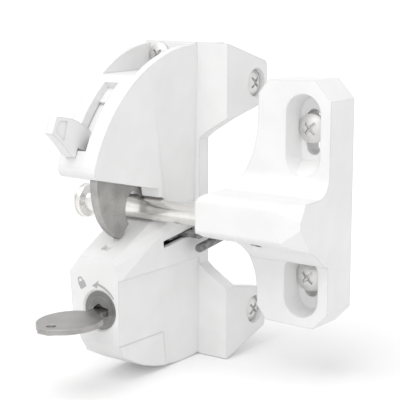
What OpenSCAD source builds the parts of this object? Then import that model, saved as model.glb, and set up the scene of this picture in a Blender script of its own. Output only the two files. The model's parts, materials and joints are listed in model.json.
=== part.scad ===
// Lockable gate latch: a C-shaped body on the gate post, a striker rod on the gate, a thumb lever,
// a swinging hook and a key lock.
// Frame: X runs along the striker rod towards the gate, Y runs back into the post, Z is up.
// The origin lies on the back face of the body, level with the rod, on the line of the key barrel.
// Numbers are millimetres.

/* [Body] */
// Height of the whole body and its mounting plate
body_h = 150; // [140:1:170]
// Thickness of the mounting plate against the post
plate_t = 7; // [6:0.5:9]
// Left edge of the mounting plate, left of the lock line
plate_left = 20; // [19:0.5:24]
// Reach of the mounting plate to the right of the lock line
plate_right = 28; // [26:0.5:34]
// Half height of the cut-away behind the striker
window_half = 33; // [30:0.5:36]
// Wall of the moulding
wall = 2.4; // [2:0.1:3]
// Flat right side of the lower housing, right of the lock line
side_x = 12; // [11.5:0.1:13]
// Left side of the lower housing, left of the lock line
low_left = 17; // [16.5:0.1:18]
// Depth of the lower housing in front of the post
low_depth = 66.7; // [66:0.1:67.2]
// Height that the lowest panel of the right side stands proud
pad_h = 0.7; // [0.4:0.1:1]

/* [Upper housing] */
// Radius of the round front, about the lever pivot
arc_r = 74; // [73:0.5:76]
// Distance of the arc centre and lever pivot in front of the post
arc_y = 8; // [7.5:0.1:9]
// Right side of the upper housing
up_right = 8.5; // [8.2:0.1:9]
// Left side of the upper housing at the front
up_left = 12.4; // [12:0.1:12.8]
// Left side of the upper housing at the mounting plate
up_left_back = 17.5; // [17:0.1:18.5]
// Thickness of the round front
rail_t = 4.4; // [4.3:0.1:4.5]
// Height of the floor of the screw pocket
pocket_z = 62; // [61.5:0.1:62.5]
// Depth of the guide channel above the lever
channel_depth = 3.3; // [2.6:0.1:3.3]
// Angle of the lower end of the lever slot
slot_low_a = 24.8; // [24.5:0.1:25.2]
// Angle of the upper end of the lever slot
slot_high_a = 45.5; // [45:0.1:46]
// Angle of the upper end of the guide channel
channel_high_a = 52.7; // [52:0.1:53]

/* [Throat] */
// Distance of the striker rod in front of the post
rod_y = 35; // [34.5:0.1:35.5]
// Height of the throat roof over the rod
roof_z = 9.6; // [9.4:0.1:10]
// Slope of the throat roof
roof_a = 13; // [12.6:0.1:13.4]
// Depth of the throat floor at the front below the rod
floor_front_z = 18; // [17.5:0.1:18.5]
// Radius of the rounded end where the rod rests
seat_r = 6.1; // [5.8:0.1:6.3]

/* [Flanges] */
// Thickness of the side flanges
flange_t = 7; // [6:0.1:7.5]
// Reach of the side flanges behind the post face
flange_depth = 26; // [25:0.5:28]
// Height of the lower edge of the upper flange at the plate
flange_in = 40.6; // [40:0.1:42]
// Height of that edge at the back
flange_in_back = 46; // [44.5:0.1:47]
// Height of the tip of the flange at the back
flange_out_back = 65.5; // [65:0.1:68]
// Distance of the side screws behind the post face
side_screw_y = 17; // [16.5:0.1:17.5]
// Height of the side screws above and below the rod
side_screw_z = 55.5; // [55:0.1:56]

/* [Hook] */
// Thickness of the hook plate
hook_t = 4; // [3.6:0.1:4.2]
// Middle plane of the hook, left of the lock line
hook_x = 2; // [1.9:0.05:2.1]
// Distance of the hook pivot in front of the post
hook_y = 19; // [18.9:0.05:19.1]
// Height of the hook pivot
hook_z = 17; // [16.9:0.05:17.1]
// Radius of the hook pin
hook_pin_r = 2.5; // [2.3:0.1:2.6]
// Radius of the notch that holds the rod
notch_r = 9.6; // [9.4:0.05:9.7]
// Swing of the hook at full lift of the lever, in degrees
hook_swing_a = 44; // [43:0.5:45]

// Radius of the hub of the hook
hub_r = 8; // [7.6:0.1:8.1]
// Radius of the spring wire
spring_wire_r = 0.45; // [0.4:0.05:0.5]
// Middle radius of the hook spring
hook_coil_r = 3.6; // [3.5:0.1:3.8]
// Pitch of the hook spring
hook_coil_pitch = 1.35; // [1.35:0.05:1.5]
// Turns of the hook spring
hook_coil_turns = 2.25; // [2.25:1:3.25]

/* [Lever] */
// Lift of the thumb lever in degrees
lever_lift_a = 11; // [10.5:0.1:11.2]
// Width of the thumb tab
tab_w = 5.8; // [5:0.1:6]
// Thickness of the stem between tab and lever
stem_t = 2.7; // [2.4:0.1:2.8]
// Left side of the slot that the stem runs in, left of the lock line
slot_left = 6.4; // [6.2:0.1:6.5]
// Right side of that slot
slot_right = 0.9; // [0.6:0.1:1.1]
// Radius of the lever pin
lever_pin_r = 2; // [1.8:0.1:2.3]
// Radius of the drive pin between lever and hook
drive_pin_r = 1.5; // [1.3:0.05:1.6]

/* [Lock] */
// Height of the key barrel below the rod
lock_z = 42; // [41.5:0.1:42.3]
// Radius of the lock shell
shell_r = 8.75; // [8.5:0.05:8.9]
// Length of the lock shell
shell_len = 24; // [23:0.5:24.5]
// Radius of the turning plug
plug_r = 6.2; // [6:0.1:6.4]
// Width of the key blade
blade_w = 8; // [7:0.1:8.4]
// Thickness of the key
key_t = 2.4; // [1.8:0.1:2.4]
// Distance of the key below the middle of the plug
key_drop = 0.9; // [0:0.1:1]
// Throw radius of the cam pin
cam_throw = 4.2; // [4:0.1:4.4]
// Turn of the key in degrees
key_turn_a = 90; // [90:1:90]

/* [Outside release] */
// Slope of the release slot
release_a = 7.5; // [7:0.1:8]
// Width of the release slot
release_slot_w = 3.3; // [3:0.1:3.6]
// Travel of the release tongue
release_travel = 7; // [5:0.5:7.5]
// Radius of the push rod
push_rod_r = 2.1; // [1.9:0.1:2.4]
// Distance of the push rod to the right of the lock line
push_rod_x = 18; // [17.5:0.1:18.5]

// Middle radius of the release spring
release_coil_r = 2.2; // [2:0.1:2.3]
// Turns of the release spring
release_coil_turns = 8; // [6:1:9]
// Length of the release spring
release_coil_l = 18.6; // [18:0.1:18.6]

/* [Striker] */
// Radius of the striker rod
rod_r = 5; // [4.8:0.1:5]
// Radius of the head of the rod
head_r = 8.2; // [8:0.1:8.6]
// Left end of the rod, left of the lock line
rod_left = 37; // [36:0.5:40]
// Front of the boss in front of the gate face
boss_depth = 46; // [45:0.5:47]
// Left end of the boss, right of the lock line
boss_left = 37.5; // [36:0.1:38]
// Top of the boss above the rod
boss_top = 12; // [11.5:0.1:12.5]
// Underside of the boss below the rod
boss_low = 9.5; // [9.2:0.1:10]
// Rounding of the upper corner of the left end of the boss
end_top_r = 5.5; // [4:0.5:7]
// Rounding of the lower corner of the left end of the boss
end_low_r = 4; // [2:0.5:5]
// Radius of the upper hollow curve of the plate
waist_top_r = 51.5; // [50:0.5:53]
// Height where the upper hollow curve meets the straight edge
waist_top_z = 45.2; // [44:0.2:46]
// Radius of the lower hollow curve of the plate
waist_low_r = 29.8; // [29:0.1:31]
// Height where the lower hollow curve meets the straight edge
waist_low_z = -33.7; // [-35:0.1:-33]
// Radius of the hollow from the top of the boss up to the plate
ramp_r = 9; // [7:0.5:12]
// Length of the rod inside the boss
rod_grip = 31; // [28:1:34]
// Left edge of the striker plate
strike_left = 53.5; // [52:0.5:55]
// Right edge of the striker plate
strike_right = 90; // [88:0.5:96]
// Depth of the striker plate in front of the gate
strike_t = 20; // [18:0.5:22]
// Top of the striker plate above the rod
strike_top = 61; // [60:0.5:64]
// Bottom of the striker plate below the rod
strike_bottom = 47; // [46:0.5:49]
// Middle of the two screw slots
strike_slot_x = 76; // [75.5:0.1:76.5]
// Half width of the sunk part of the screw slots
sink_r = 8.6; // [8:0.1:8.8]
// Depth of the sunk part of the screw slots
sink_depth = 10; // [9:0.5:12]
// Half width of the through slots
through_r = 3.4; // [3.2:0.1:4]

/* [Screws] */
// Radius of the heads of the large screws
big_head_r = 6.5; // [6:0.1:6.8]
// Radius of the shanks of the large screws inside the walls
big_shank_r = 2.9; // [2.8:0.1:3.1]
// Radius of the shanks of the large screws behind the walls
thread_r = 2.5; // [2.4:0.05:2.6]
// Free length of the large screws behind the post faces
screw_free = 30; // [20:1:40]
// Free length of the large screws behind the gate face
gate_screw_free = 16; // [12:1:18]

/* [Hidden] */
$fn = 64;
white = [0.93, 0.93, 0.93];
steel = [0.78, 0.77, 0.76];
dark_steel = [0.2, 0.2, 0.21];
zinc = [0.5, 0.5, 0.5];
eps = 0.01;
far = 200;
// Sliding gap between plastic parts and running gap of pins
slide_gap = 0.3;
pin_gap = 0.05;

half_h = body_h / 2;
hook_c = [-hook_y, hook_z];
lever_c = [-arc_y, 0];
rod_c = [-rod_y, 0];
hook_x0 = -hook_x - hook_t / 2;
hook_x1 = -hook_x + hook_t / 2;
floor_back_z = seat_r + 0.1;
floor_slope = (floor_front_z - floor_back_z) / (low_depth - rod_y - 1);
lever_ratio = hook_swing_a / lever_lift_a;
// Lever, shutter and cavity in the upper housing
cavity_r = arc_r - rail_t;
shutter_r1 = cavity_r - 0.4;
shutter_r0 = shutter_r1 - 1;
up_taper = (up_left_back - up_left) / (arc_y + arc_r - plate_t - 4);
cav_left = up_left - wall;
cav_right = up_right - wall;
stem_x0 = -slot_left + 0.3;
tab_x1 = stem_x0 + stem_t;
arm_x0 = hook_x1 + 1.7;
arm_x1 = cav_right - 0.9;
tab_low_a = slot_low_a + 0.8;
tab_high_a = slot_high_a - lever_lift_a - 1.2;
shutter_low_a = 30.6;
// The drive pin sits where lever and hook move together at the start of the lift
pivot_gap = norm(hook_c - lever_c);
drive_c = hook_c + (hook_c - lever_c) / (lever_ratio - 1);
// The rounded lower edge of the nose: its centre and where it meets arc and underside
nose_r = 4;
nose_along = [-cos(roof_a), sin(roof_a)];
nose_from = rod_c + [0, roof_z] + nose_r * [sin(roof_a), cos(roof_a)] - lever_c;
nose_c = lever_c + nose_from + nose_along * (sqrt(pow(nose_from * nose_along, 2) - nose_from * nose_from
    + pow(arc_r - nose_r, 2)) - nose_from * nose_along);
nose_top = lever_c + (nose_c - lever_c) * arc_r / norm(nose_c - lever_c);
nose_low = nose_c - nose_r * [sin(roof_a), cos(roof_a)];
seat_wall_y = -26.6;
cavity_top = -11.5;
hook_pin_left = -13.8;
lever_pin_left = -13.2;
cover_t = 2;
cover_left = 15;
cover_right = 11;
cover_top = 61.5;
cover_bottom = -60;
cover_screw_z = [cover_top - 3.5, cover_bottom + 3.5];
face_screw_top = [-9, 69];
face_screw_low = [-3, -67.3];
face_screw_wall = 9;
shell_y0 = -low_depth + 0.7;
shell_y1 = shell_y0 + shell_len;
key_z = -lock_z - key_drop;
boss_wall = 2;
clip_t = 1.2;
clip_r = shell_r + 0.5;
clip_y = shell_y1 - 3.2;
plug_y1 = shell_y1 + 1;
cam_t = 2.4;
cam_pin_r = 1.2;
cam_pin_l = 3.4;
bar_y0 = plug_y1 + cam_t + 0.3;
bar_t = 3;
// Finger of the locking bar, in front of the tip of the hook
finger_t = 3.2;
finger_y = -low_depth + 6.7;
release_coil_u = -20.6;
spring_seat_x = 1.2;
release_y = 27;
release_z = 15;
tongue_t = 2;
push_rod_w = -6.8;
rod_right = boss_left + rod_grip;
set_screw_x = rod_right - 6;
gate_screw_z = [40.1, -26.4];
// Ends of the screw slots: outer end and the end towards the rod
upper_slot = [47, 28.6];
lower_slot = [-34.4, -23];

function on_arc(r, a) = [-arc_y - r * cos(a), r * sin(a)];
// Points given by their distance outside the round front and their angle
function beside_arc(points) = [for (p = points) on_arc(arc_r + p[0], p[1])];
function roof(y) = roof_z + (-y - rod_y) * tan(roof_a);
function ground(y) = -floor_back_z - (-y - rod_y - 1) * floor_slope;
function turned(p, c, a) = c + [(p - c)[0] * cos(a) - (p - c)[1] * sin(a),
    (p - c)[0] * sin(a) + (p - c)[1] * cos(a)];

// Extrusions of an outline drawn in Y and Z, X and Z, or X and Y
module along_x(points, x0, x1) translate([x0, 0, 0]) rotate([90, 0, 90])
    linear_extrude(x1 - x0) polygon(points);
module along_y(points, y0, y1) translate([0, y1, 0]) rotate([90, 0, 0])
    linear_extrude(y1 - y0) polygon(points);
module along_z(points, z0, z1) translate([0, 0, z0]) linear_extrude(z1 - z0) polygon(points);
module box(x0, x1, y0, y1, z0, z1) translate([x0, y0, z0]) cube([x1 - x0, y1 - y0, z1 - z0]);
// Cylinders along X, Y and Z; c is the place of the axis in the other two directions
module pin_x(r, x0, x1, c) translate([x0, c[0], c[1]]) rotate([0, 90, 0]) cylinder(r = r, h = x1 - x0);
module pin_y(r, y0, y1, c) translate([c[0], y0, c[1]]) rotate([-90, 0, 0]) cylinder(r = r, h = y1 - y0);

// Everything on one side of a plane through three points, given counter-clockwise from that side;
// depth moves the plane away from that side
module beyond(a, b, c, depth = 0) {
    n = cross(b - a, c - a);
    translate(a) rotate([0, acos(n[2] / norm(n)), atan2(n[1], n[0])]) translate([-far, -far, -depth])
        cube(2 * far);
}

// A band of the round front between two radii and two angles about the lever pivot
module arc_band(r0, r1, a0, a1, x0, x1) intersection() {
    difference() {
        pin_x(r1, x0, x1, lever_c);
        pin_x(r0, x0 - 1, x1 + 1, lever_c);
    }
    along_x([lever_c, on_arc(2 * r1, a0), on_arc(2.4 * r1, (a0 + a1) / 2), on_arc(2 * r1, a1)], x0, x1);
}

// Axes of the tilted outside release, from the front edge of its tongue
module tilted() translate([0, -release_y, -release_z]) rotate([release_a, 0, 0]) children();

// A pan head with a cross recess, facing along -Y from the plane y, with its shank along +Y
// It is big_shank_r thick inside a wall of thickness held, and thread_r thick behind it.
module pan_screw_y(c, y, head_r, head_h, held, free) {
    difference() {
        union() {
            intersection() {
                pin_y(head_r, y - head_h, y, c);
                translate([c[0], y - head_h + head_r * 1.6, c[1]]) sphere(r = head_r * 1.6);
            }
            pin_y(big_shank_r, y - eps, y + held + 1, c);
            pin_y(thread_r, y + held, y + held + free - 2, c);
            translate([c[0], y + held + free - 2, c[1]]) rotate([-90, 0, 0])
                cylinder(r1 = thread_r, r2 = 0.6, h = 2);
        }
        for (a = [45, 135]) translate([c[0], y - head_h, c[1]]) rotate([0, a, 0])
            cube([head_r * 1.05, 3.2, head_r * 0.2], center = true);
        translate([c[0], y - head_h - eps, c[1]]) rotate([-90, 0, 0])
            cylinder(r1 = head_r * 0.24, r2 = head_r * 0.1, h = 2.2);
    }
}

// Outer form of the upper housing, with its nose rounded over
module upper_form() intersection() {
    union() {
        intersection() {
            union() {
                pin_x(arc_r, -plate_left, side_x, lever_c);
                box(-plate_left, side_x, -arc_y, 0, 0, half_h);
            }
            along_x([[0, half_h], [-far, half_h], nose_top + 4 * (nose_top - nose_low), nose_low,
                [-rod_y - 2, roof(-rod_y - 2)], [-rod_y, 0], [0, 0]], -plate_left, side_x);
        }
        pin_x(nose_r - 0.05, -plate_left, side_x, nose_c);
    }
    along_z([[up_right, -far], [up_right, -80], [up_right + 2.1, -rod_y + 1], [up_right + 2.1, 0],
        [-up_left_back, 0], [-up_left_back, -plate_t], [-up_left_back + (far - plate_t) * up_taper, -far]],
        -1, half_h);
}

// The step down in the right side behind the nose, flush at its top
module side_step() intersection() {
    beyond([up_right + 2.1, -40.5, 60], [up_right + 2.1, -33.5, 5], [up_right, -27.5, 5]);
    beyond([up_right + 2.1, -7, 60], [up_right + 0.5, -40, 5], [up_right + 0.5, -7, 5]);
    box(up_right - 1, side_x + 1, -rod_y - 7, -plate_t, 0, 60);
}

// Outer form of the lower housing, with its sloping edges bevelled
module lower_form() difference() {
    intersection() {
        along_x([[0, -half_h], [-24, -half_h], [-40, -half_h], [-low_depth + 2.2, -62.5],
            [-low_depth, -57], [-low_depth, -floor_front_z], [-rod_y - 1, -floor_back_z],
            [-rod_y, 0], [0, 0]], -low_left, side_x);
        pin_x(95.3, -low_left, side_x, [-18.4, 95.3 - half_h]);
        along_y([[-low_left, 1], [-low_left, -26.5], [-15.8, -44], [-11.4, -55.8], [-9.6, -61],
            [-9.6, -half_h - 1], [side_x, -half_h - 1], [side_x, 1]], -low_depth, 0);
    }
    right_bevel(0);
    left_bevel(0);
}

// The bevels along the two sloping upper edges of the lower housing, depth deeper than the surface.
// The right one grows steeper from the rod seat to the front, in three flat strips.
module right_bevel(depth) {
    high_back = [5.1, -33.9, -5.6];
    high_front = [8.4, -67, -18.1];
    low_front = [side_x, -66.7, -27.3];
    low_back = [side_x, -33.9, -9.7];
    beyond(high_back, high_front, low_back, depth);
    beyond(high_front, low_front, low_back, depth);
    beyond(high_front, low_back, high_front + [-22.7, -4, 25.5], depth + 0.9);
}
module left_bevel(depth)
    beyond([-14.8, -44.3, -9.5], [-17, -66.7, -25.9], [-11.4, -62.8, -16.5], depth);

module side_flange(s) along_x([[-plate_t, s * half_h], [-plate_t, s * flange_in],
    [0, s * flange_in], [flange_depth - 1, s * flange_in_back], [flange_depth, s * (flange_in_back + 1)],
    [flange_depth, s * (flange_out_back - 2)], [flange_depth - 1, s * flange_out_back]],
    plate_right - flange_t, plate_right);

module mounting_plate() along_y([[-plate_left, -half_h], [-plate_left, half_h], [plate_right, half_h],
    [plate_right, flange_in], [side_x + 3.6, window_half], [side_x, window_half - 3],
    [side_x, -window_half + 3], [side_x + 3.6, -window_half], [plate_right, -flange_in],
    [plate_right, -half_h]], -plate_t, 0);

// The corner that falls away above or below a side flange
module flange_corner(s) along_x([[-plate_t, s * half_h], [-plate_t - 1, s * (half_h + 9)],
    [flange_depth, s * (half_h + 9)], [flange_depth, s * flange_out_back]],
    plate_right - flange_t, plate_right + 1);

// Space in the upper housing for the hook and the lever
module upper_cavity() difference() {
    union() {
        intersection() {
            pin_x(cavity_r, -cav_left, cav_right, lever_c);
            along_x([[seat_wall_y, roof(seat_wall_y) + wall], [-far, roof(-far) + wall], [-far, pocket_z - wall],
                [eps, pocket_z - wall], [eps, 9]], -cav_left, cav_right);
        }
        box(-cav_left, cav_right, seat_wall_y, eps, cavity_top + 1.5, 20);
    }
    // the wall above the seat of the rod
    box(-far, far, -rod_y - 3, seat_wall_y, 0, hook_z - hub_r - 0.35);
}

// Space in the lower housing for the lock and the release
module lower_cavity() difference() {
    along_x([[-low_depth + wall, -53], [-low_depth + wall, ground(-low_depth) - wall - 0.6],
        [-rod_y - 2, ground(-rod_y - 2) - wall - 0.4], [-rod_y, cavity_top], [eps, cavity_top], [eps, -53]],
        -low_left + wall + 1, side_x - wall);
    right_bevel(wall);
    left_bevel(wall);
    // the wall where the left side draws in below
    along_y([[-low_left, -40], [-13.4, -43], [-9.4, -53.1], [-low_left, -53.1]], -low_depth, 1);
}

module latch_body() color(white) difference() {
    union() {
        difference() {
            union() {
                upper_form();
                lower_form();
                mounting_plate();
                for (s = [1, -1]) side_flange(s);
                box(-up_left_back, up_right + 2.1, -rod_y + 5, 0, -floor_back_z - 1, seat_r + 1);
            }
            upper_cavity();
            lower_cavity();
        }
        // socket of the lock shell
        pin_y(shell_r + boss_wall + 0.15, -low_depth + 1, clip_y, [0, -lock_z]);
        // seat of the release spring
        box(spring_seat_x, spring_seat_x + 5.6, -50, -47.6, -23, -13);
    }
    side_step();
    for (s = [1, -1]) flange_corner(s);
    // rounded seat of the striker rod
    pin_x(seat_r, -far, far, rod_c - [seat_r - rod_r - slide_gap, 0]);
    // guide channel and slot of the lever
    arc_band(arc_r - channel_depth, arc_r + 4, slot_high_a - 1, channel_high_a,
        -slot_left, slot_right);
    arc_band(cavity_r - 1, arc_r + 4, slot_low_a, slot_high_a, -slot_left, slot_right);
    // pocket of the upper screw, open to the front and top
    along_z([[-up_left + 2, -far], [cav_right, -far], [cav_right, -face_screw_wall],
        [-up_left_back + 2.2, -face_screw_wall], [-up_left + 2, -60]], pocket_z, half_h + 1);
    // pocket of the lower screw, open to the underside
    box(-14, 8, -32, -face_screw_wall, -half_h - 1, -60.5);
    for (c = [face_screw_top, face_screw_low]) pin_y(big_shank_r + 0.3, -face_screw_wall - 1, 1, c);
    // slot for the hook in the roof of the throat
    box(hook_x0 - 0.7, hook_x1 + 0.7, -70.5, -28.4, 0, roof(-70.5) + wall + 1);
    box(hook_x0 - 0.7, hook_x1 + 0.7, -29, seat_wall_y + eps, hook_z - hub_r - 0.35, 20);
    // opening for the finger of the locking bar in the floor of the throat
    box(hook_x0 - 0.1, hook_x1 + 0.1, finger_y - 0.3, finger_y + finger_t + 0.3, -22, 0);
    // bore of the lock shell with its bevelled mouth
    pin_y(shell_r + pin_gap, -low_depth - 1, shell_y1 + 1, [0, -lock_z]);
    translate([0, -low_depth - eps, -lock_z]) rotate([-90, 0, 0])
        cylinder(r1 = shell_r + 1, r2 = shell_r, h = 1);
    // slot of the outside release
    tilted() box(side_x - wall - 2, side_x + 2, -7.9, 17.3, -release_slot_w / 2, release_slot_w / 2);
    // bores of the hook pin and the lever pin
    pin_x(hook_pin_r, hook_pin_left, -cav_left + 1, hook_c);
    pin_x(lever_pin_r, lever_pin_left, up_right - 1, lever_c);
    // sunk holes of the side screws
    for (s = [1, -1]) {
        pin_x(big_shank_r + 0.3, plate_right - flange_t - 1, plate_right + 1, [side_screw_y, s * side_screw_z]);
        pin_x(big_head_r + 0.3, plate_right - 3.6, plate_right + 1, [side_screw_y, s * side_screw_z]);
    }
    // seat and pilot holes of the back cover
    box(-cover_left - 0.15, cover_right + 0.15, -cover_t, 1, cover_bottom - 0.15, cover_top + 0.15);
    for (x = [-cover_left + 2.4, cover_right - 2.4], z = cover_screw_z) pin_y(1, -10, 1, [x, z]);
    // the right side steps in above and behind its lower panel
    difference() {
        box(side_x - pad_h, side_x + 1, -low_depth - 1, -plate_t, -half_h, -27);
        along_x([[-far, -56], [-35.5, -57.3], [-33, -half_h - 1], [-far, -half_h - 1]],
            side_x - 2, side_x + 2);
    }
}

module back_cover() color([0.75, 0.75, 0.74]) difference() {
    box(-cover_left, cover_right, -cover_t, 0, cover_bottom, cover_top);
    for (x = [-cover_left + 2.4, cover_right - 2.4], z = cover_screw_z) {
        pin_y(1.3, -cover_t - 1, 1, [x, z]);
        translate([x, -1.3, z]) rotate([-90, 0, 0]) cylinder(r1 = 1.3, r2 = 2.6, h = 1.3 + eps);
    }
}

module cover_screws() color(steel)
    for (x = [-cover_left + 2.4, cover_right - 2.4], z = cover_screw_z) difference() {
        union() {
            translate([x, -1.2, z]) rotate([-90, 0, 0]) cylinder(r1 = 1, r2 = 2.3, h = 1.2);
            pin_y(0.95, -9, -1.1, [x, z]);
        }
        for (a = [45, 135]) translate([x, 0, z]) rotate([0, a, 0]) cube([2.6, 1.2, 0.5], center = true);
    }

module post_face_screws() color(steel) for (c = [face_screw_top, face_screw_low])
    pan_screw_y(c, -face_screw_wall, 5.5, 3.4, face_screw_wall, screw_free);

module post_side_screws() color(steel) for (s = [1, -1])
    rotate([0, 0, 90]) pan_screw_y([side_screw_y, s * side_screw_z], -plate_right + 3.6, big_head_r, 3.2,
        flange_t - 3.6, screw_free);

module lock_shell() color(zinc) difference() {
    pin_y(shell_r, shell_y0, shell_y1, [0, -lock_z]);
    pin_y(plug_r + pin_gap, shell_y0 - 1, shell_y1 + 1, [0, -lock_z]);
    difference() {
        pin_y(shell_r + 1, clip_y, clip_y + clip_t, [0, -lock_z]);
        pin_y(shell_r - 0.9, clip_y - 1, clip_y + clip_t + 1, [0, -lock_z]);
    }
}

module lock_clip() color(steel) difference() {
    pin_y(clip_r, clip_y + 0.02, clip_y + clip_t - 0.02, [0, -lock_z]);
    pin_y(shell_r - 0.88, clip_y - 1, clip_y + clip_t + 1, [0, -lock_z]);
    box(-5, 5, clip_y - 1, clip_y + clip_t + 1, -lock_z - clip_r - 1, -lock_z);
}

module lock_plug() color(zinc) difference() {
    pin_y(plug_r, shell_y0, plug_y1, [0, -lock_z]);
    box(-blade_w / 2 - 0.2, blade_w / 2 + 0.2, shell_y0 - 1, shell_y1 - 1.5,
        key_z - key_t / 2 - 0.2, key_z + key_t / 2 + 0.2);
    // mouth of the keyway above the blade
    translate([0, 0, key_z]) along_y([[-3.9, 1.3], [-3.9, 2.1], [-2.4, 3], [-0.9, 3.9], [0.7, 3.2], [2.2, 2.5],
        [4.6, 2.2], [4.6, 1.3]], shell_y0 - 1, shell_y0 + 2.6);
    for (i = [0:4]) box(-4.6, -1.2, shell_y0 + 3.4 + 3.4 * i, shell_y0 + 5 + 3.4 * i,
        key_z + key_t / 2 + 0.1, -lock_z + 3.6);
}

module lock_wafers() color(steel) for (i = [0:4])
    box(-4.4, -1.4, shell_y0 + 3.6 + 3.4 * i, shell_y0 + 4.8 + 3.4 * i,
        key_z + key_t / 2 + 0.25, -lock_z + 3.4);

module lock_cam() color(steel) {
    pin_y(plug_r - 0.4, plug_y1, plug_y1 + cam_t, [0, -lock_z]);
    pin_y(cam_pin_r, plug_y1 + cam_t - eps, plug_y1 + cam_t + cam_pin_l,
        [cam_throw * cos(45), -lock_z - cam_throw * sin(45)]);
}

module key() color(steel) {
    bow_y = -86.3;
    difference() {
        union() {
            translate([0, bow_y, key_z - key_t / 2]) scale([0.84, 1, 1]) cylinder(r = 16, h = key_t);
            along_z([[-9.6, bow_y - 10.6], [-3, bow_y - 17.2], [3, bow_y - 17.2], [9.6, bow_y - 10.6],
                [9, bow_y], [-9, bow_y]], key_z - key_t / 2, key_z + key_t / 2);
        }
        translate([0, bow_y - 11.8, key_z - key_t]) cylinder(r = 2.2, h = 2 * key_t);
    }
    difference() {
        box(-blade_w / 2, blade_w / 2, bow_y + 13, shell_y1 - 3, key_z - key_t / 2, key_z + key_t / 2);
        for (i = [0:4]) translate([blade_w / 2 + 1.2, shell_y0 + 4.2 + 3.4 * i, key_z - key_t])
            rotate([0, 0, 45]) cube([2.4 + (i % 3) * 0.5, 2.4 + (i % 3) * 0.5, 3 * key_t], center = true);
    }
}

// The bar follows the cam pin up and down
module locking_bar() color(steel) {
    pin_x_c = cam_throw * cos(45);
    pin_z_c = -lock_z - cam_throw * sin(45);
    difference() {
        box(-6, 8, bar_y0, bar_y0 + bar_t, -50, -27);
        box(pin_x_c - cam_pin_r - 0.4, cam_throw + cam_pin_r + 0.4, bar_y0 - 1, bar_y0 + bar_t + 1,
            pin_z_c - cam_pin_r - 0.3, pin_z_c + cam_pin_r + 0.3);
    }
    box(-6, -0.5, finger_y, bar_y0 + eps, -30, -27);
    box(hook_x0 + 0.2, hook_x1 - 0.2, finger_y, finger_y + finger_t, -30 + eps,
        ground(finger_y + finger_t / 2) - 0.6);
}

hook_outline = [[-51.7, -11.9], [-55.8, -9.4], [-59.6, -6.2], [-62.6, -2.4], [-64.8, 2], [-66.2, 7],
    [-67, 12], [-67, 16.4], [-66, 21], [-58, 28.5], [-40, 30], [-hook_y, hook_z + hub_r],
    [-hook_y, hook_z - hub_r + 0.2], [-30.4, 9.2], [-32.4, 8.2], [-38, 5], [-45.4, -6]];

module hook() color(steel) difference() {
    union() {
        along_x(hook_outline, hook_x0, hook_x1);
        pin_x(hub_r, hook_x0, hook_x1, hook_c);
    }
    pin_x(notch_r, hook_x0 - 1, hook_x1 + 1, [-rod_y - 3, 0.5]);
    pin_x(hook_pin_r + 1.3, hook_x0 - 1, hook_x1 + 1, hook_c);
    // slot that the drive pin follows while lever and hook turn at their own rates
    for (i = [0:8])
        pin_x(drive_pin_r + 0.25, hook_x0 - 1, hook_x1 + 1,
            turned(turned(drive_c, lever_c, -lever_lift_a * i / 8), hook_c, hook_swing_a * i / 8));
}

module hook_bush() color([0.72, 0.6, 0.36]) difference() {
    pin_x(hook_pin_r + 1.3 - 0.01, hook_x0, hook_x1, hook_c);
    pin_x(hook_pin_r + pin_gap, hook_x0 - 1, hook_x1 + 1, hook_c);
}

module hook_pin() color(steel) {
    pin_x(hook_pin_r - 0.01, hook_pin_left + 0.1, hook_x1 + 0.2, hook_c);
    pin_x(hook_pin_r + 1.6, hook_x1 + 0.15, hook_x1 + 1.3, hook_c);
}

// A wire swept along a list of points, with six sides
function ring(p, d, r, sides) = let (f = d / norm(d),
    a = abs(f[2]) < 0.9 ? [0, 0, 1] : [0, 1, 0], u = cross(f, a) / norm(cross(f, a)), v = cross(f, u))
    [for (k = [0:sides - 1]) p + r * (u * cos(360 * k / sides) + v * sin(360 * k / sides))];
module wire(path, r, sides) {
    n = len(path);
    rings = [for (i = [0:n - 1]) ring(path[i],
        i == 0 ? path[1] - path[0] : i == n - 1 ? path[n - 1] - path[n - 2] : path[i + 1] - path[i - 1],
        r, sides)];
    polyhedron(points = [for (g = rings) each g],
        faces = concat([[for (k = [0:sides - 1]) k]],
            [[for (k = [0:sides - 1]) n * sides - 1 - k]],
            [for (i = [0:n - 2], k = [0:sides - 1]) let (a = i * sides + k, b = i * sides + (k + 1) % sides)
                each [[a, b + sides, b], [a, a + sides, b + sides]]]));
}

hook_coil_x = hook_x0 - 0.35 - spring_wire_r;
hook_coil = [for (i = [0:hook_coil_turns * 12]) let (a = i * 30)
    [hook_coil_x - hook_coil_pitch * a / 360, hook_c[0] - hook_coil_r * cos(a), hook_c[1] + hook_coil_r * sin(a)]];

module hook_spring() color(dark_steel) {
    last = hook_coil[len(hook_coil) - 1];
    wire(concat([hook_coil[0] + [0, 0, -11], hook_coil[0] + [0, 0, -1]], hook_coil,
        [last + [0, 1, 0.02], last + [0, 11, 0.2]]), spring_wire_r, 6);
}

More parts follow.
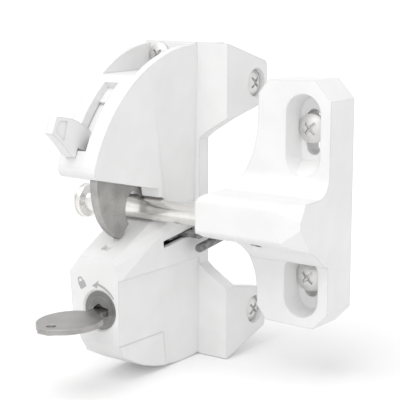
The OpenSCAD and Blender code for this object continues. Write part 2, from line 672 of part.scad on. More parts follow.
module thumb_lever() color(white) {
    difference() {
        union() {
            pin_x(5, -cav_left + 0.3, cav_right - 0.3, lever_c);
            along_x([[-arc_y + 4, 1], [-12.5, -2], [-13.6, 9], [-22, 14.4], [-35, 18.2],
                on_arc(shutter_r0 + 0.4, 25), on_arc(shutter_r0 + 0.4, 30), on_arc(shutter_r0 + 0.4, 36),
                [-36, 26], [-20, 21.5], [-11, 15]], arm_x0, arm_x1);
        }
        pin_x(lever_pin_r + pin_gap, -far, far, lever_c);
        pin_x(drive_pin_r + 0.01, arm_x0 - 1, arm_x1 - 0.38, drive_c);
        // room for the hook beside the hub
        pin_x(9.3, hook_x0 - 0.6, hook_x1 + 1.6, hook_c);
    }
    arc_band(shutter_r0, shutter_r1, shutter_low_a, slot_high_a + 0.6, -cav_left + 0.6, arm_x1);
    arc_band(shutter_r0, shutter_r1, tab_low_a + 0.4, shutter_low_a + 1, -cav_left + 0.6, tab_x1 - 0.1);
    // stem through the slot, and the thumb tab in front of it
    arc_band(shutter_r0 + 0.2, arc_r + 1, tab_low_a, tab_high_a, stem_x0, tab_x1);
    difference() {
        along_x(beside_arc([[-6.32, 34.16], [-1.17, 33.69], [3.83, 33.36], [9.22, 32.74], [12.35, 32.03],
            [18.48, 30.47], [17.92, 25.59], [16.31, 25.37], [13.11, 24.92], [10.01, 24.25], [6.58, 23.32],
            [3.66, 22.4], [0.65, 22.03]]), tab_x1 - tab_w, tab_x1);
        pin_x(arc_r + 0.35, -far, far, lever_c);
        // sunk panel on the right side of the tab
        along_x(beside_arc([[16.35, 29.8], [16.34, 26.85], [10, 25.53], [11.68, 31.06]]),
            tab_x1 - 0.6, tab_x1 + 1);
        // the left side of the tab leans in towards its end
        beyond(concat(tab_x1 - tab_w, on_arc(arc_r + 0.46, 22.09)),
            concat(tab_x1 - tab_w + 1.6, on_arc(arc_r + 21.3, 28.2)),
            concat(tab_x1 - tab_w, on_arc(arc_r + 2.6, 36)));
    }
}

module lever_pin() color(steel)
    pin_x(lever_pin_r - 0.01, lever_pin_left + 0.1, up_right - 1.1, lever_c);

module drive_pin() color(steel) pin_x(drive_pin_r, hook_x0 - 0.3, arm_x1 - 0.4, drive_c);

module release_tongue() color(dark_steel) tilted() {
    box(-4, side_x - 3, 0, 13, -tongue_t / 2, tongue_t / 2);
    box(side_x - 3, push_rod_x + 2.5, 8, 13, -tongue_t / 2, tongue_t / 2);
    box(push_rod_x - 2.5, push_rod_x + 2.5, 13 - eps, 24, -tongue_t / 2, tongue_t / 2);
    difference() {
        box(push_rod_x - 2.5, push_rod_x + 2.5, 21.6, 24, push_rod_w, tongue_t / 2 - eps);
        translate([push_rod_x, 21, push_rod_w]) rotate([-90, 0, 0]) cylinder(r = push_rod_r, h = 4);
    }
}

module release_rod() color(dark_steel) tilted() {
    translate([push_rod_x, 11, push_rod_w]) rotate([-90, 0, 0]) cylinder(r = push_rod_r - 0.01, h = 49);
    translate([push_rod_x, 11, push_rod_w]) sphere(r = push_rod_r - 0.01);
}

module release_spring() color(dark_steel) {
    coil = [for (i = [0:release_coil_turns * 8]) let (a = i * 45)
        [4 + release_coil_r * cos(a), release_coil_u + 1 + release_coil_l * i / (release_coil_turns * 8),
            -1.6 + release_coil_r * sin(a)]];
    tilted() wire(concat([coil[0] + [0, -1, -0.02]], coil, [coil[len(coil) - 1] + [0, 0.7, 0.02]]),
        0.4, 6);
}

// Outline of the striker plate in X and Z, narrowing to the boss in two hollow curves
neck_x = strike_left - 12.4;
strike_outline = [[strike_left + 5, strike_top], [strike_left, strike_top - 6], [strike_left, waist_top_z],
    [neck_x, waist_top_z], [neck_x, waist_low_z], [strike_left, waist_low_z],
    [strike_left, -strike_bottom + 6],
    [strike_left + 5, -strike_bottom], [strike_right - 7, -strike_bottom - 0.4], [strike_right, -strike_bottom + 7],
    [strike_right, strike_top - 8], [strike_right - 8, strike_top + 0.6]];

module plate_form(y0, y1) difference() {
    along_y(strike_outline, y0, y1);
    pin_y(waist_top_r, y0 - 1, y1 + 1, [strike_left - waist_top_r - 0.1, waist_top_z]);
    pin_y(waist_low_r, y0 - 1, y1 + 1, [strike_left - waist_low_r - 0.1, waist_low_z]);
}

module striker_body() color(white) difference() {
    union() {
        plate_form(-strike_t, 0);
        boss();
    }
    screw_slot(upper_slot, 1);
    screw_slot(lower_slot, -1);
    // bore of the rod and thread of its set screw
    pin_x(rod_r + pin_gap, boss_left - 1, rod_right + 6, rod_c);
    translate([set_screw_x, -rod_y, -boss_low - 1]) cylinder(r = 2.5, h = boss_low);
}

// Cross-section in Y and Z of the boss, with its hollow slope down to the plate
boss_section = [[-1, boss_top + ramp_r], [-strike_t - ramp_r, boss_top + ramp_r],
    [-strike_t - ramp_r, boss_top], [-boss_depth + 4, boss_top], [-boss_depth, boss_top - 4],
    [-boss_depth, -3.6], [-boss_depth + 2.5, -6.1], [-40, -8], [-35, -boss_low],
    [-30.2, -12.1], [-26, -15.6], [-23, -17.7], [-strike_t, -19], [-1, -19]];

// Free left end of the boss: round behind, with two rounded corners in front view
boss_mid = (boss_top - boss_low) / 2;
module boss_arm() intersection() {
    union() {
        box(boss_left, strike_left, -far, -rod_y, -far, far);
        pin_x((boss_top + boss_low) / 2 - 0.05, boss_left, strike_left, [-rod_y, boss_mid]);
    }
    union() {
        box(boss_left + end_top_r, strike_left, -far, 0, -boss_low, boss_top);
        box(boss_left, strike_left, -far, 0, -boss_low + end_low_r, boss_top - end_top_r);
        pin_y(end_top_r, -far, 0, [boss_left + end_top_r, boss_top - end_top_r]);
        pin_y(end_low_r, -far, 0, [boss_left + end_low_r, -boss_low + end_low_r]);
    }
}

module boss() difference() {
    intersection() {
        difference() {
            union() {
                along_x(boss_section, boss_left, strike_right);
                pin_x(4, boss_left, strike_right, [-boss_depth + 4, boss_top - 4]);
                pin_x(2.5, boss_left, strike_right, [-boss_depth + 2.5, -3.6]);
            }
            pin_x(ramp_r - 0.05, boss_left - 1, strike_right + 1, [-strike_t - ramp_r, boss_top + ramp_r]);
        }
        union() {
            plate_form(-far, 0);
            boss_arm();
        }
        // the hollow underside starts beside the arm
        difference() {
            box(0, far, -far, 0, -far, far);
            box(0, strike_left - 1.5, -far, -strike_t, -far, -boss_low);
        }
        // slanting right end
        along_z([[boss_left - 1, 0], [boss_left - 1, -boss_depth + 1.5], [boss_left + 1.5, -boss_depth - 1],
            [81, -boss_depth - 1], [81, -boss_depth], [strike_right, -boss_depth + 3], [strike_right, 0]],
            -far, far);
    }
    beyond([81, -boss_depth, -5.3], [strike_right, -34.2, -10], [strike_right, -42.2, 0.4]);
    beyond([81, -boss_depth, 8], [strike_right, -boss_depth + 3, 5], [strike_right, -38, 13.5]);
}

// A screw slot: a sunk part with sloping sides that runs out in a ramp towards the boss,
// and a through part. ends are the heights of its outer end and of the end towards the boss.
module screw_slot(ends, s) {
    high = ends[0];
    low = ends[1];
    translate([strike_slot_x + 0.4, 0, 0]) intersection() {
        long_hole([min(ends), max(ends)], sink_r, sink_r - 1.6, -strike_t, -strike_t + sink_depth);
        along_x([[-strike_t + sink_depth + 1, low - s * 3], [-strike_t + sink_depth, low - s * 3],
            [-strike_t, low - s * sink_r], [-strike_t - 2, low - s * sink_r], [-strike_t - 2, high + s * 20],
            [-strike_t + sink_depth + 1, high + s * 20]], -far, far);
    }
    translate([strike_slot_x, 0, 0]) long_hole([min(high - s * 2, low + s * 3), max(high - s * 2, low + s * 3)],
        through_r, through_r, -strike_t + sink_depth - 1, 1);
}

// A long hole with round ends at two heights, r0 wide at y0 and r1 wide at y1
module long_hole(ends, r0, r1, y0, y1) {
    grow = (r0 - r1) / (y1 - y0);
    for (z = ends) translate([0, y0 - 1, z]) rotate([-90, 0, 0])
        cylinder(r1 = r0 + grow, r2 = r1, h = y1 - y0 + 1);
    along_z([[-r0 - grow, y0 - 1], [r0 + grow, y0 - 1], [r1, y1], [-r1, y1]], ends[0], ends[1]);
}

module striker_rod() color(steel) difference() {
    union() {
        pin_x(rod_r, -rod_left + 5, rod_right, rod_c);
        // mushroom head with two ring grooves
        translate([-rod_left, -rod_y, 0]) rotate([0, 90, 0]) rotate_extrude()
            polygon([[0, 0], [head_r - 2.4, 0], [head_r - 0.6, 1], [head_r, 2.2], [head_r - 0.5, 2.6],
                [head_r - 0.5, 3.1], [head_r, 3.5], [head_r - 0.4, 4.8], [rod_r + 0.6, 6], [0, 6]]);
    }
    // shallow ring groove round the rod
    difference() {
        pin_x(rod_r + 1, -rod_left + 21, -rod_left + 22, rod_c);
        pin_x(rod_r - 0.6, -rod_left + 20, -rod_left + 23, rod_c);
    }
}

module rod_set_screw() color(dark_steel) difference() {
    translate([set_screw_x, -rod_y, -boss_low + 0.3]) cylinder(r = 2.45, h = boss_low - rod_r - 0.35);
    translate([set_screw_x, -rod_y, -boss_low]) cylinder(r = 1.4, h = 2.4, $fn = 6);
}

module gate_screws() color(steel) for (z = gate_screw_z)
    pan_screw_y([strike_slot_x, z], -strike_t + sink_depth, big_head_r, 4.2,
        strike_t - sink_depth, gate_screw_free);

latch_body();
back_cover();
cover_screws();
post_face_screws();
post_side_screws();
lock_shell();
lock_clip();
lock_plug();
lock_wafers();
lock_cam();
key();
locking_bar();
hook();
hook_bush();
hook_pin();
hook_spring();
thumb_lever();
lever_pin();
drive_pin();
release_tongue();
release_rod();
release_spring();
striker_body();
striker_rod();
rod_set_screw();
gate_screws();
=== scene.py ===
# %% [markdown]
# # A lockable gate latch, dressed for its portrait
#
# The latch and its striker arrive as a fixed frame: every plastic housing, pin, screw and
# spring is already in its place, in metres. This lesson adds what the frame does not have,
# which is the finish of each surface, the marks on the front, the screw threads, and
# the small studio that the object stands in.

# %% Load the frame
import bpy
import bmesh
import math
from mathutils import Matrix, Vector
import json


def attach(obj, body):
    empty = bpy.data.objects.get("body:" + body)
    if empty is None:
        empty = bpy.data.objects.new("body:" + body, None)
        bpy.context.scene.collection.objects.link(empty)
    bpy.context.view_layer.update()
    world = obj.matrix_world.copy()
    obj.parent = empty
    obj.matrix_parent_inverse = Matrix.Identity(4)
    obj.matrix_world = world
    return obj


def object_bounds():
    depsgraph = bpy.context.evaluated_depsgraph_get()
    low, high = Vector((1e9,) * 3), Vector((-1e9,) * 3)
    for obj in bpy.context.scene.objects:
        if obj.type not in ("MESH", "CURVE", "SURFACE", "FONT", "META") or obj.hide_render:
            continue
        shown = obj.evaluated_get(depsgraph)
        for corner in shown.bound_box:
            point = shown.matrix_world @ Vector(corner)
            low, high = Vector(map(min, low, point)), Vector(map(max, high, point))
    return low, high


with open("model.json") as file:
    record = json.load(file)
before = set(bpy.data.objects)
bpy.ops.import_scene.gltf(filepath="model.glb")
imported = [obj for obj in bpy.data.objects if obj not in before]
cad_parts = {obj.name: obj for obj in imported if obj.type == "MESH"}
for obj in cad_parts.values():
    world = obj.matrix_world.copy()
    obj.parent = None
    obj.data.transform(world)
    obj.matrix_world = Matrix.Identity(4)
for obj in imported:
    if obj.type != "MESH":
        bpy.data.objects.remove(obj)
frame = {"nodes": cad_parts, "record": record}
solid_low, solid_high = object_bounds()
print("nodes:", len(frame["nodes"]))

# %% [markdown]
# ## Camera
#
# The photograph looks at the latch from its right front corner, a little from above, through
# a long lens. A long lens keeps the upright edges parallel, as they are in the picture. The
# camera is placed by its distance and angles round a point between latch and striker, which
# is easier to correct than three loose coordinates. Its lens is worked out from the focal
# length that was measured on the picture, in pixels.

# %% Camera
mm = 0.001
look_at = Vector((7.21 * mm, 0, -0.83 * mm))
turn, lift, distance = math.radians(36), math.radians(10.5), 580 * mm
sensor_width, picture_px, focal_px = 36, 400, 1204
farthest_seen = 100


def put(name, data):
    """A new object with this data, in the scene."""
    thing = bpy.data.objects.new(name, data)
    bpy.context.scene.collection.objects.link(thing)
    return thing


back = Vector((math.sin(turn) * math.cos(lift), -math.cos(turn) * math.cos(lift), math.sin(lift)))
eye = put("studio_camera", bpy.data.cameras.new("studio_camera"))
eye.location = look_at + distance * back
eye.rotation_euler = back.to_track_quat("Z", "Y").to_euler()
eye.data.sensor_width = sensor_width
eye.data.lens = sensor_width * focal_px / picture_px
eye.data.clip_end = farthest_seen
bpy.context.scene.camera = eye
print("camera at", [round(c, 4) for c in eye.location])

# %% [markdown]
# ## Sky
#
# White plastic needs an even light, or its ramps and ledges disappear in glare or in
# shadow. One plain soft level does that for the surfaces. The lens and the reflections should
# see a white backdrop instead, so the world asks each ray what it is: camera, glossy and
# transmission rays get pure white, and all the others get the soft level.

# %% Sky
sky_level, backdrop_level = 0.72, 1.0
pure_white = (1, 1, 1, 1)


def add(tree, kind, **values):
    """A new shader node, with its settings and the plain values of its sockets."""
    node = tree.nodes.new(kind)
    for name, value in values.items():
        if name in node.inputs.keys() and not hasattr(type(node), name):
            node.inputs[name].default_value = value
        else:
            setattr(node, name, value)
    return node


def join(tree, source, target):
    """A wire from one socket to another."""
    tree.links.new(source, target)


bpy.context.scene.view_settings.view_transform = "Standard"
sky = bpy.data.worlds.new("studio_sky")
bpy.context.scene.world = sky
sky.use_nodes = True
tree = sky.node_tree
tree.nodes.clear()
soft = add(tree, "ShaderNodeBackground", Color=pure_white, Strength=sky_level)
white = add(tree, "ShaderNodeBackground", Color=pure_white, Strength=backdrop_level)
ray = add(tree, "ShaderNodeLightPath")
seen = add(tree, "ShaderNodeMath", operation="MAXIMUM")
seen_too = add(tree, "ShaderNodeMath", operation="MAXIMUM")
either = add(tree, "ShaderNodeMixShader")
out = add(tree, "ShaderNodeOutputWorld")
join(tree, ray.outputs["Is Camera Ray"], seen.inputs[0])
join(tree, ray.outputs["Is Glossy Ray"], seen.inputs[1])
join(tree, seen.outputs[0], seen_too.inputs[0])
join(tree, ray.outputs["Is Transmission Ray"], seen_too.inputs[1])
join(tree, seen_too.outputs[0], either.inputs[0])
join(tree, soft.outputs[0], either.inputs[1])
join(tree, white.outputs[0], either.inputs[2])
join(tree, either.outputs[0], out.inputs[0])
print("sky level:", sky_level, "and backdrop:", backdrop_level)

# %% [markdown]
# ## Sun lamps
#
# One wide sun from above and a little from the front makes the tops of the ledges the
# brightest faces, and a weak one from low on the right lifts the lower half, which the floor
# shades. Their discs are made large, so that the shadows are soft.

# %% Sun lamps


def sun(name, comes_from, strength, disc):
    """A sun that shines from that direction, with a disc so many degrees wide."""
    lamp = put(name, bpy.data.lights.new(name, "SUN"))
    lamp.rotation_euler = Vector(comes_from).to_track_quat("Z", "Y").to_euler()
    lamp.data.energy = strength
    lamp.data.angle = math.radians(disc)


sun("overhead_softbox", comes_from=(-0.05, -0.48, 0.88), strength=1.25, disc=50)
sun("side_fill", comes_from=(0.66, -0.74, 0.12), strength=0.5, disc=60)

# %% [markdown]
# ## Floor
#
# The latch stands on its lower end on a sheet of white paper. The paper reaches far behind
# the object, so that its edge never shows, and keeps the soft shadow that ties the object to
# the ground. It lies a hair below the lowest point, so that the two never share a plane.

# %% Floor
floor_half, floor_cells, floor_gap = 15, 8, 0.2 * mm
floor_mesh = bpy.data.meshes.new("paper_floor")
shape = bmesh.new()
bmesh.ops.create_grid(shape, x_segments=floor_cells, y_segments=floor_cells, size=floor_half)
shape.to_mesh(floor_mesh)
shape.free()
floor = put("paper_floor", floor_mesh)
floor.location.z = solid_low[2] - floor_gap
print("floor at", round(floor.location.z / mm, 2), "mm")

# %% [markdown]
# ## White paper
#
# A faint fibre pattern in the paper's colour and roughness keeps it from being a mere flat
# tone. The paper also glows a little for the lens and for reflections, and only for them, so
# that it meets the white backdrop without a seam and adds no light to the object. The four
# helpers made here serve every finish that follows: an empty finish, a noise, a change of
# range and a mix of two colours.

# %% White paper
mix_share, mix_first, mix_second, mix_result = 0, 6, 7, 2
fibres_per_metre = 400
paper_glow = 0.12


def new_finish(name):
    """An empty material with its surface shader, its output and its place on the object."""
    material = bpy.data.materials.new(name)
    material.use_nodes = True
    nodes = material.node_tree
    nodes.nodes.clear()
    surface = add(nodes, "ShaderNodeBsdfPrincipled")
    output = add(nodes, "ShaderNodeOutputMaterial")
    place = add(nodes, "ShaderNodeTexCoord")
    join(nodes, surface.outputs[0], output.inputs[0])
    return material, nodes, surface, place.outputs["Object"]


def grain(nodes, place, scale, detail=3, stretch=(1, 1, 1)):
    """Noise in object space: scale is in features per metre, stretch draws it out."""
    drawn_out = add(nodes, "ShaderNodeMapping", Scale=stretch)
    noise = add(nodes, "ShaderNodeTexNoise", Scale=scale, Detail=detail)
    join(nodes, place, drawn_out.inputs["Vector"])
    join(nodes, drawn_out.outputs[0], noise.inputs["Vector"])
    return noise.outputs["Fac"]


def spread(nodes, source, low, high, source_low=0.3, source_high=0.7):
    """Fits a noise value to the range from low to high."""
    fit = add(nodes, "ShaderNodeMapRange")
    fit.inputs["From Min"].default_value = source_low
    fit.inputs["From Max"].default_value = source_high
    fit.inputs["To Min"].default_value = low
    fit.inputs["To Max"].default_value = high
    join(nodes, source, fit.inputs["Value"])
    return fit.outputs["Result"]


def between(nodes, source, dark, light):
    """A colour between dark and light, by a value from 0 to 1."""
    mix = add(nodes, "ShaderNodeMix", data_type="RGBA")
    mix.inputs[mix_first].default_value = (*dark, 1)
    mix.inputs[mix_second].default_value = (*light, 1)
    join(nodes, source, mix.inputs[mix_share])
    return mix.outputs[mix_result]


paper, nodes, surface, place = new_finish("white_paper")
fibre = grain(nodes, place, fibres_per_metre)
tone = between(nodes, fibre, dark=(0.88, 0.88, 0.88), light=(0.91, 0.91, 0.91))
join(nodes, tone, surface.inputs["Base Color"])
join(nodes, spread(nodes, fibre, 0.8, 0.95), surface.inputs["Roughness"])
surface.inputs["Specular IOR Level"].default_value = 0.1
surface.inputs["Emission Color"].default_value = pure_white
ray = add(nodes, "ShaderNodeLightPath")
lens = add(nodes, "ShaderNodeMath", operation="MAXIMUM")
join(nodes, ray.outputs["Is Camera Ray"], lens.inputs[0])
join(nodes, ray.outputs["Is Glossy Ray"], lens.inputs[1])
glow = spread(nodes, lens.outputs[0], 0, paper_glow, 0, 1)
join(nodes, glow, surface.inputs["Emission Strength"])
floor_mesh.materials.append(paper)
print("paper on:", floor.name)

# %% [markdown]
# ## Moulded white plastic
#
# The housings are moulded in one go, so their edges are never knife sharp: the tool is
# rounded, and the corner catches a line of light. Rounding every edge of the mesh would change
# the frame, so the shader's Bevel node bends the light instead. On top of that comes
# the fine spark-eroded grain of the tool, a slow waviness from the cooling, and a little
# wear that makes the corners duller.

# %% White plastic
plastic_ior, plastic_shine = 1.49, 0.35
waves, pores, rubs, sheens = 60, 2600, 240, 180
pore_strength, pore_depth = 0.16, 0.06 * mm
most_worn, wear_reach = 0.5, 1.4


def soft_normal(nodes, surface, height, strength, depth, radius=0.0):
    """Bump from a height, on edges that are rounded by radius in metres."""
    bump = add(nodes, "ShaderNodeBump", Strength=strength, Distance=depth)
    join(nodes, height, bump.inputs["Height"])
    if radius:
        edge = add(nodes, "ShaderNodeBevel", samples=6, Radius=radius)
        join(nodes, edge.outputs[0], bump.inputs["Normal"])
    join(nodes, bump.outputs[0], surface.inputs["Normal"])


def edge_mask(nodes, radius, corner=1 - 0.5 / 3, flat=0.995):
    """1 on edges and 0 on flats, from the cosine between the true and the rounded normal."""
    edge = add(nodes, "ShaderNodeBevel", samples=4, Radius=radius)
    true = add(nodes, "ShaderNodeNewGeometry")
    angle = add(nodes, "ShaderNodeVectorMath", operation="DOT_PRODUCT")
    join(nodes, edge.outputs[0], angle.inputs[0])
    join(nodes, true.outputs["Normal"], angle.inputs[1])
    return spread(nodes, angle.outputs["Value"], 1, 0, corner, flat)


def laid_over(nodes, colour, share, edge_colour):
    """The colour of the flats with the edges' own colour laid over it by a share."""
    mix = add(nodes, "ShaderNodeMix", data_type="RGBA")
    join(nodes, share, mix.inputs[mix_share])
    join(nodes, colour, mix.inputs[mix_first])
    mix.inputs[mix_second].default_value = (*edge_colour, 1)
    return mix.outputs[mix_result]


def patchy(nodes, mask, patches):
    """A mask that some patches of noise thin out."""
    share = add(nodes, "ShaderNodeMath", operation="MULTIPLY")
    join(nodes, mask, share.inputs[0])
    join(nodes, patches, share.inputs[1])
    return share.outputs[0]


def moulded(name, dark, light, worn, rough, radius):
    """Plastic between two tones, with worn edges; rough gives the least and the most."""
    finish, nodes, surface, place = new_finish(name)
    colour = between(nodes, spread(nodes, grain(nodes, place, waves, 2), 0, 1), dark, light)
    rubbed = spread(nodes, grain(nodes, place, rubs), 0, most_worn)
    share = patchy(nodes, edge_mask(nodes, radius * wear_reach), rubbed)
    join(nodes, laid_over(nodes, colour, share, worn), surface.inputs["Base Color"])
    join(nodes, spread(nodes, grain(nodes, place, sheens), *rough), surface.inputs["Roughness"])
    surface.inputs["IOR"].default_value = plastic_ior
    surface.inputs["Specular IOR Level"].default_value = plastic_shine
    soft_normal(nodes, surface, grain(nodes, place, pores, 4), pore_strength, pore_depth, radius)
    return finish


white_plastic = moulded("white_plastic", dark=(0.83, 0.83, 0.828), light=(0.875, 0.875, 0.874),
                        worn=(0.8, 0.8, 0.795), rough=(0.42, 0.56), radius=0.9 * mm)
grey_plastic = moulded("grey_plastic", dark=(0.56, 0.56, 0.55), light=(0.66, 0.66, 0.65),
                       worn=(0.5, 0.5, 0.49), rough=(0.5, 0.68), radius=0.5 * mm)
print("plastics:", white_plastic.name, grey_plastic.name)

# %% [markdown]
# ## Steel, zinc and brass
#
# The metal pieces differ by how they were made. The round bar and the pins were ground while
# turning, so their fine scratches run round them. The hook was cut from sheet and tumbled
# until its edges were soft and its faces blotchy. The barrel was die cast and is matt, and the
# key was rolled and plated. One recipe covers them all: a base colour, cloudy stains, and one
# set of scratches that is drawn out along the direction of the work.

# %% Metals
scratch_share, cloud_share = 0.45, 0.55
scratch_strength, polish_reach = 0.35, 1.3


def metal(name, dark, light, bright, rough, cloud, scratch, stretch, depth, radius):
    """Cloud and scratch are in features per metre, depth and radius in metres."""
    finish, nodes, surface, place = new_finish(name)
    surface.inputs["Metallic"].default_value = 1.0
    lines = grain(nodes, place, scratch, 3, stretch)
    both = add(nodes, "ShaderNodeMath", operation="MULTIPLY_ADD")
    join(nodes, lines, both.inputs[0])
    both.inputs[1].default_value = scratch_share
    join(nodes, spread(nodes, grain(nodes, place, cloud, 4), 0, cloud_share), both.inputs[2])
    colour = between(nodes, spread(nodes, both.outputs[0], 0, 1, 0.1, 0.75), dark, light)
    polished = laid_over(nodes, colour, edge_mask(nodes, radius * polish_reach), bright)
    join(nodes, polished, surface.inputs["Base Color"])
    join(nodes, spread(nodes, both.outputs[0], *rough, 0.1, 0.8), surface.inputs["Roughness"])
    soft_normal(nodes, surface, lines, scratch_strength, depth, radius)
    return finish


stainless_steel = metal(
    "stainless_steel", dark=(0.72, 0.71, 0.69), light=(0.9, 0.885, 0.86), bright=(0.88, 0.87, 0.85),
    rough=(0.12, 0.26), cloud=90, scratch=260, stretch=(24, 1, 1), depth=0.02 * mm, radius=0.4 * mm)
hook_steel = metal(
    "hook_steel", dark=(0.33, 0.322, 0.315), light=(0.5, 0.49, 0.48), bright=(0.55, 0.54, 0.53),
    rough=(0.3, 0.5), cloud=160, scratch=900, stretch=(1, 1, 1), depth=0.05 * mm, radius=0.5 * mm)
zinc_diecast = metal(
    "zinc_diecast", dark=(0.19, 0.19, 0.187), light=(0.31, 0.31, 0.305), bright=(0.42, 0.42, 0.41),
    rough=(0.42, 0.6), cloud=220, scratch=1500, stretch=(1, 1, 1), depth=0.06 * mm, radius=0.4 * mm)
key_nickel = metal(
    "key_nickel", dark=(0.32, 0.312, 0.305), light=(0.44, 0.43, 0.42), bright=(0.56, 0.55, 0.54),
    rough=(0.28, 0.46), cloud=140, scratch=300, stretch=(1, 12, 1), depth=0.03 * mm, radius=0.4 * mm)
screw_zinc = metal(
    "screw_zinc", dark=(0.64, 0.635, 0.63), light=(0.76, 0.755, 0.75), bright=(0.78, 0.775, 0.77),
    rough=(0.42, 0.58), cloud=300, scratch=700, stretch=(1, 1, 1), depth=0.03 * mm, radius=0.3 * mm)
spring_steel = metal(
    "spring_steel", dark=(0.22, 0.22, 0.23), light=(0.36, 0.36, 0.37), bright=(0.45, 0.45, 0.46),
    rough=(0.25, 0.42), cloud=400, scratch=1200, stretch=(1, 1, 1), depth=0.02 * mm, radius=0.2 * mm)
brass = metal(
    "brass", dark=(0.5, 0.36, 0.16), light=(0.68, 0.52, 0.27), bright=(0.8, 0.66, 0.38),
    rough=(0.22, 0.4), cloud=250, scratch=900, stretch=(12, 1, 1), depth=0.03 * mm, radius=0.3 * mm)
print("metals:", stainless_steel.name, hook_steel.name, zinc_diecast.name, key_nickel.name)

# %% [markdown]
# ## Grey coating
#
# The release tongue and its rod have a thin phosphate coating. It is not metal to the light: it
# is a mottled grey film with a slight orange-peel surface, and it wears through to the
# brighter metal on the corners first. The helpers for worn edges from the plastic serve here
# as well, with a stronger share.

# %% Grey coating
mottles, bare_patches, dull_patches, peel = 420, 500, 350, 1100
bare_metal = (0.38, 0.38, 0.38)
dark_coat, nodes, surface, place = new_finish("dark_coat")
mottled = spread(nodes, grain(nodes, place, mottles, 4), 0, 1, 0.35, 0.65)
film = between(nodes, mottled, dark=(0.13, 0.13, 0.13), light=(0.28, 0.28, 0.278))
rub = spread(nodes, grain(nodes, place, bare_patches, 4), 0, 0.8)
share = patchy(nodes, edge_mask(nodes, 0.5 * mm), rub)
join(nodes, laid_over(nodes, film, share, bare_metal), surface.inputs["Base Color"])
dull = spread(nodes, grain(nodes, place, dull_patches, 2), 0.34, 0.55)
join(nodes, dull, surface.inputs["Roughness"])
soft_normal(nodes, surface, grain(nodes, place, peel, 2), 0.2, 0.05 * mm, 0.4 * mm)
print("coating:", dark_coat.name)

# %% [markdown]
# ## Dress the frame
#
# Every node of the frame already says which finish it has, in the record's list of parts.
# Reading that list keeps this lesson and the record in step: a part whose finish changes there
# changes here as well.

# %% Dress the frame
finishes = {"white_plastic": white_plastic, "grey_plastic": grey_plastic,
            "dark_coat": dark_coat, "stainless_steel": stainless_steel,
            "hook_steel": hook_steel, "zinc_diecast": zinc_diecast, "key_nickel": key_nickel,
            "screw_zinc": screw_zinc, "spring_steel": spring_steel, "brass": brass}
slot_of = {part["node"]: part["material_slot"] for part in frame["record"]["subparts"]}
for name, node in frame["nodes"].items():
    for holder in node.material_slots:
        holder.material = finishes[slot_of[name]]
print("dressed:", len(slot_of), "nodes in", len(set(slot_of.values())), "finishes")

# %% [markdown]
# ## Printed film
#
# Above the lock barrel the front carries two small grey marks: a closed padlock, and a curved
# arrow that shows which way the key turns. They are pad-printed, so each is a film about a
# tenth of a millimetre thick, standing on the front face, whose rim hides a little way inside
# the face. They are drawn here as flat outlines in the face's own coordinates, x to the right
# and z up, in millimetres. A stroke is a ribbon along a line of points.

# %% Printed film
front_y = -66.7
film_t = 0.12
film_sunk = 0.05


def piece_from(shape, name, finish, body):
    """An object from a finished shape, in its finish, that moves with its body."""
    bmesh.ops.recalc_face_normals(shape, faces=shape.faces)
    mesh = bpy.data.meshes.new(name)
    shape.to_mesh(mesh)
    shape.free()
    piece = put(name, mesh)
    mesh.materials.append(finish)
    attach(piece, body)
    return piece


def plate(name, outlines, y, thickness, finish, body):
    """Flat outlines (x, z) in mm on the plane y, as thin solid plates."""
    shape = bmesh.new()
    for outline in outlines:
        ring = [shape.verts.new((x * mm, (y + film_sunk) * mm, z * mm)) for x, z in outline]
        pushed = bmesh.ops.extrude_face_region(shape, geom=[shape.faces.new(ring)])
        for v in pushed["geom"]:
            if isinstance(v, bmesh.types.BMVert):
                v.co.y = (y - thickness) * mm
    return piece_from(shape, name, finish, body)


def ribbon(points, widths):
    """The outline of a stroke along points, with its width at each."""
    left, right = [], []
    for i, (x, z) in enumerate(points):
        x0, z0 = points[max(i - 1, 0)]
        x1, z1 = points[min(i + 1, len(points) - 1)]
        run = math.hypot(x1 - x0, z1 - z0)
        nx, nz = -(z1 - z0) / run, (x1 - x0) / run
        left.append((x + nx * widths[i] / 2, z + nz * widths[i] / 2))
        right.append((x - nx * widths[i] / 2, z - nz * widths[i] / 2))
    return left + right[::-1]


ink, nodes, surface, place = new_finish("grey_print")
dots = grain(nodes, place, 3000)
tone = between(nodes, spread(nodes, dots, 0, 1), dark=(0.4, 0.4, 0.4), light=(0.5, 0.5, 0.5))
join(nodes, tone, surface.inputs["Base Color"])
join(nodes, spread(nodes, dots, 0.5, 0.65), surface.inputs["Roughness"])
soft_normal(nodes, surface, dots, 0.1, 0.02 * mm)
print("film:", ink.name, film_t, "mm thick")

# %% [markdown]
# ## Padlock mark
#
# The padlock leans to the left. Its body is a rectangle with round corners and its bow a ribbon
# over the top. Both are drawn upright round the padlock's own middle, and one small function
# tilts them and sets them on the face.

# %% Padlock mark
padlock_x, padlock_z, tilt = -9.77, -31.3, math.radians(31)
corner_u, corner_v, corner_r = 1.65, 1.3, 0.3
bow_r, bow_mid, bow_foot, bow_w = 1.2, 2.3, 1.65, 0.62


def tilted(u, v):
    """From the padlock's own width u and height v to the face."""
    return (padlock_x + u * math.cos(tilt) - v * math.sin(tilt),
            padlock_z + u * math.sin(tilt) + v * math.cos(tilt))


def on_circle(u, v, radius, degrees):
    """The point at that angle on a circle round u, v."""
    angle = math.radians(degrees)
    return (u + radius * math.cos(angle), v + radius * math.sin(angle))


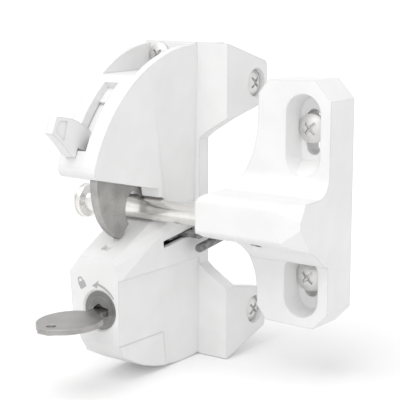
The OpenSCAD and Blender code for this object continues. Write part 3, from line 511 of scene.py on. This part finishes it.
corners = [(corner_u, corner_v, 0), (-corner_u, corner_v, 90),
           (-corner_u, -corner_v, 180), (corner_u, -corner_v, 270)]
body_outline = [tilted(*on_circle(u, v, corner_r, first + step))
                for u, v, first in corners for step in (0, 30, 60, 90)]
bow = [(bow_r, bow_foot), *[on_circle(0, bow_mid, bow_r, a) for a in range(0, 181, 15)],
       (-bow_r, bow_foot)]
bow_outline = ribbon([tilted(u, v) for u, v in bow], [bow_w] * len(bow))
padlock_mark = plate("padlock_mark", [body_outline, bow_outline], front_y, film_t, ink, "latch")
print("padlock:", len(padlock_mark.data.polygons), "faces")

# %% [markdown]
# ## Arrow mark
#
# The arrow is a stroke that swells and thins as it bends round the barrel, with a plain
# triangle for its head. Four points with a width each are enough, because a smooth curve
# runs through them and the widths are smoothed in the same way.

# %% Arrow mark


def curve_at(t, a, b, c, d):
    """The value at t, from 0 to 1, between b and c on a smooth curve through all four."""
    return 0.5 * (2 * b + (c - a) * t + (2 * a - 5 * b + 4 * c - d) * t * t
                  + (3 * b - a - 3 * c + d) * t ** 3)


def smooth(points, steps=8):
    """Points on a smooth curve through the given ones."""
    ends = [points[0], *points, points[-1]]
    curve = []
    for four in zip(ends, ends[1:], ends[2:], ends[3:]):
        for s in range(steps):
            curve.append(tuple(curve_at(s / steps, *values) for values in zip(*four)))
    return curve + [tuple(points[-1])]


arc = smooth([(-0.65, -29.95, 0.95), (3.16, -31.2, 1.1), (6.56, -33.4, 1.0), (8.45, -35.3, 0.6)])
arc_outline = ribbon([(x, z) for x, z, w in arc], [w for x, z, w in arc])
arrow_head = [(-3.95, -31.02), (-0.21, -28.15), (-1.09, -31.85)]
arrow_mark = plate("arrow_mark", [arc_outline, arrow_head], front_y, film_t, ink, "latch")
print("arrow:", len(arrow_mark.data.polygons), "faces")

# %% [markdown]
# ## Screw threads
#
# The frame draws the free shank of each large screw as a plain rod of its core size. What cuts
# into the post is a ridge, wound round that core. It fades in over the first turn and out over
# the last one, as the thread of a rolled screw does. A row of small four-sided rings, joined
# one to the next, gives a closed ridge whose foot is sunk into the core.

# %% Screw threads
core_r, crest_r, pitch, steps_a_turn = 2.5, 3.15, 2.2, 24
foot_half, crest_half, foot_sunk = 0.55, 0.08, 0.08


def thread(name, start, along, length, body):
    """A ridge round a shank that begins at start, in mm, and runs in the direction along."""
    along = Vector(along)
    side = along.orthogonal().normalized()
    across = along.cross(side)
    count = int(length / pitch * steps_a_turn)
    shape = bmesh.new()
    rings = []
    for i in range(count + 1):
        angle = 2 * math.pi * i / steps_a_turn
        outward = math.cos(angle) * side + math.sin(angle) * across
        middle = Vector(start) + along * (pitch * i / steps_a_turn)
        fade = min(1, i / steps_a_turn, (count - i) / steps_a_turn)
        foot, top = core_r - foot_sunk, core_r + (crest_r - core_r) * fade
        ridge = [(-foot_half, foot), (-crest_half, top), (crest_half, top), (foot_half, foot)]
        rings.append([shape.verts.new((middle + along * shift + outward * radius) * mm)
                      for shift, radius in ridge])
    for near, far in zip(rings, rings[1:]):
        for k in range(len(ridge)):
            after = (k + 1) % len(ridge)
            shape.faces.new((near[k], near[after], far[after], far[k]))
    shape.faces.new(rings[0][::-1])
    shape.faces.new(rings[-1])
    piece = piece_from(shape, name, screw_zinc, body)
    return piece


backward, leftward = (0, 1, 0), (-1, 0, 0)
post_length, gate_length = 25, 11.5
threads = [thread("post_face_thread_upper", (-9, 1.8, 69), backward, post_length, "latch"),
           thread("post_face_thread_lower", (-3, 1.8, -67.3), backward, post_length, "latch"),
           thread("post_side_thread_upper", (19.2, 17, 55.5), leftward, post_length, "latch"),
           thread("post_side_thread_lower", (19.2, 17, -55.5), leftward, post_length, "latch"),
           thread("gate_thread_upper", (76, 1.8, 40.1), backward, gate_length, "gate"),
           thread("gate_thread_lower", (76, 1.8, -26.4), backward, gate_length, "gate")]
print("threads:", [len(piece.data.polygons) for piece in threads])

# %% [markdown]
# ## End of the scene
#

# %% End of the scene
import json
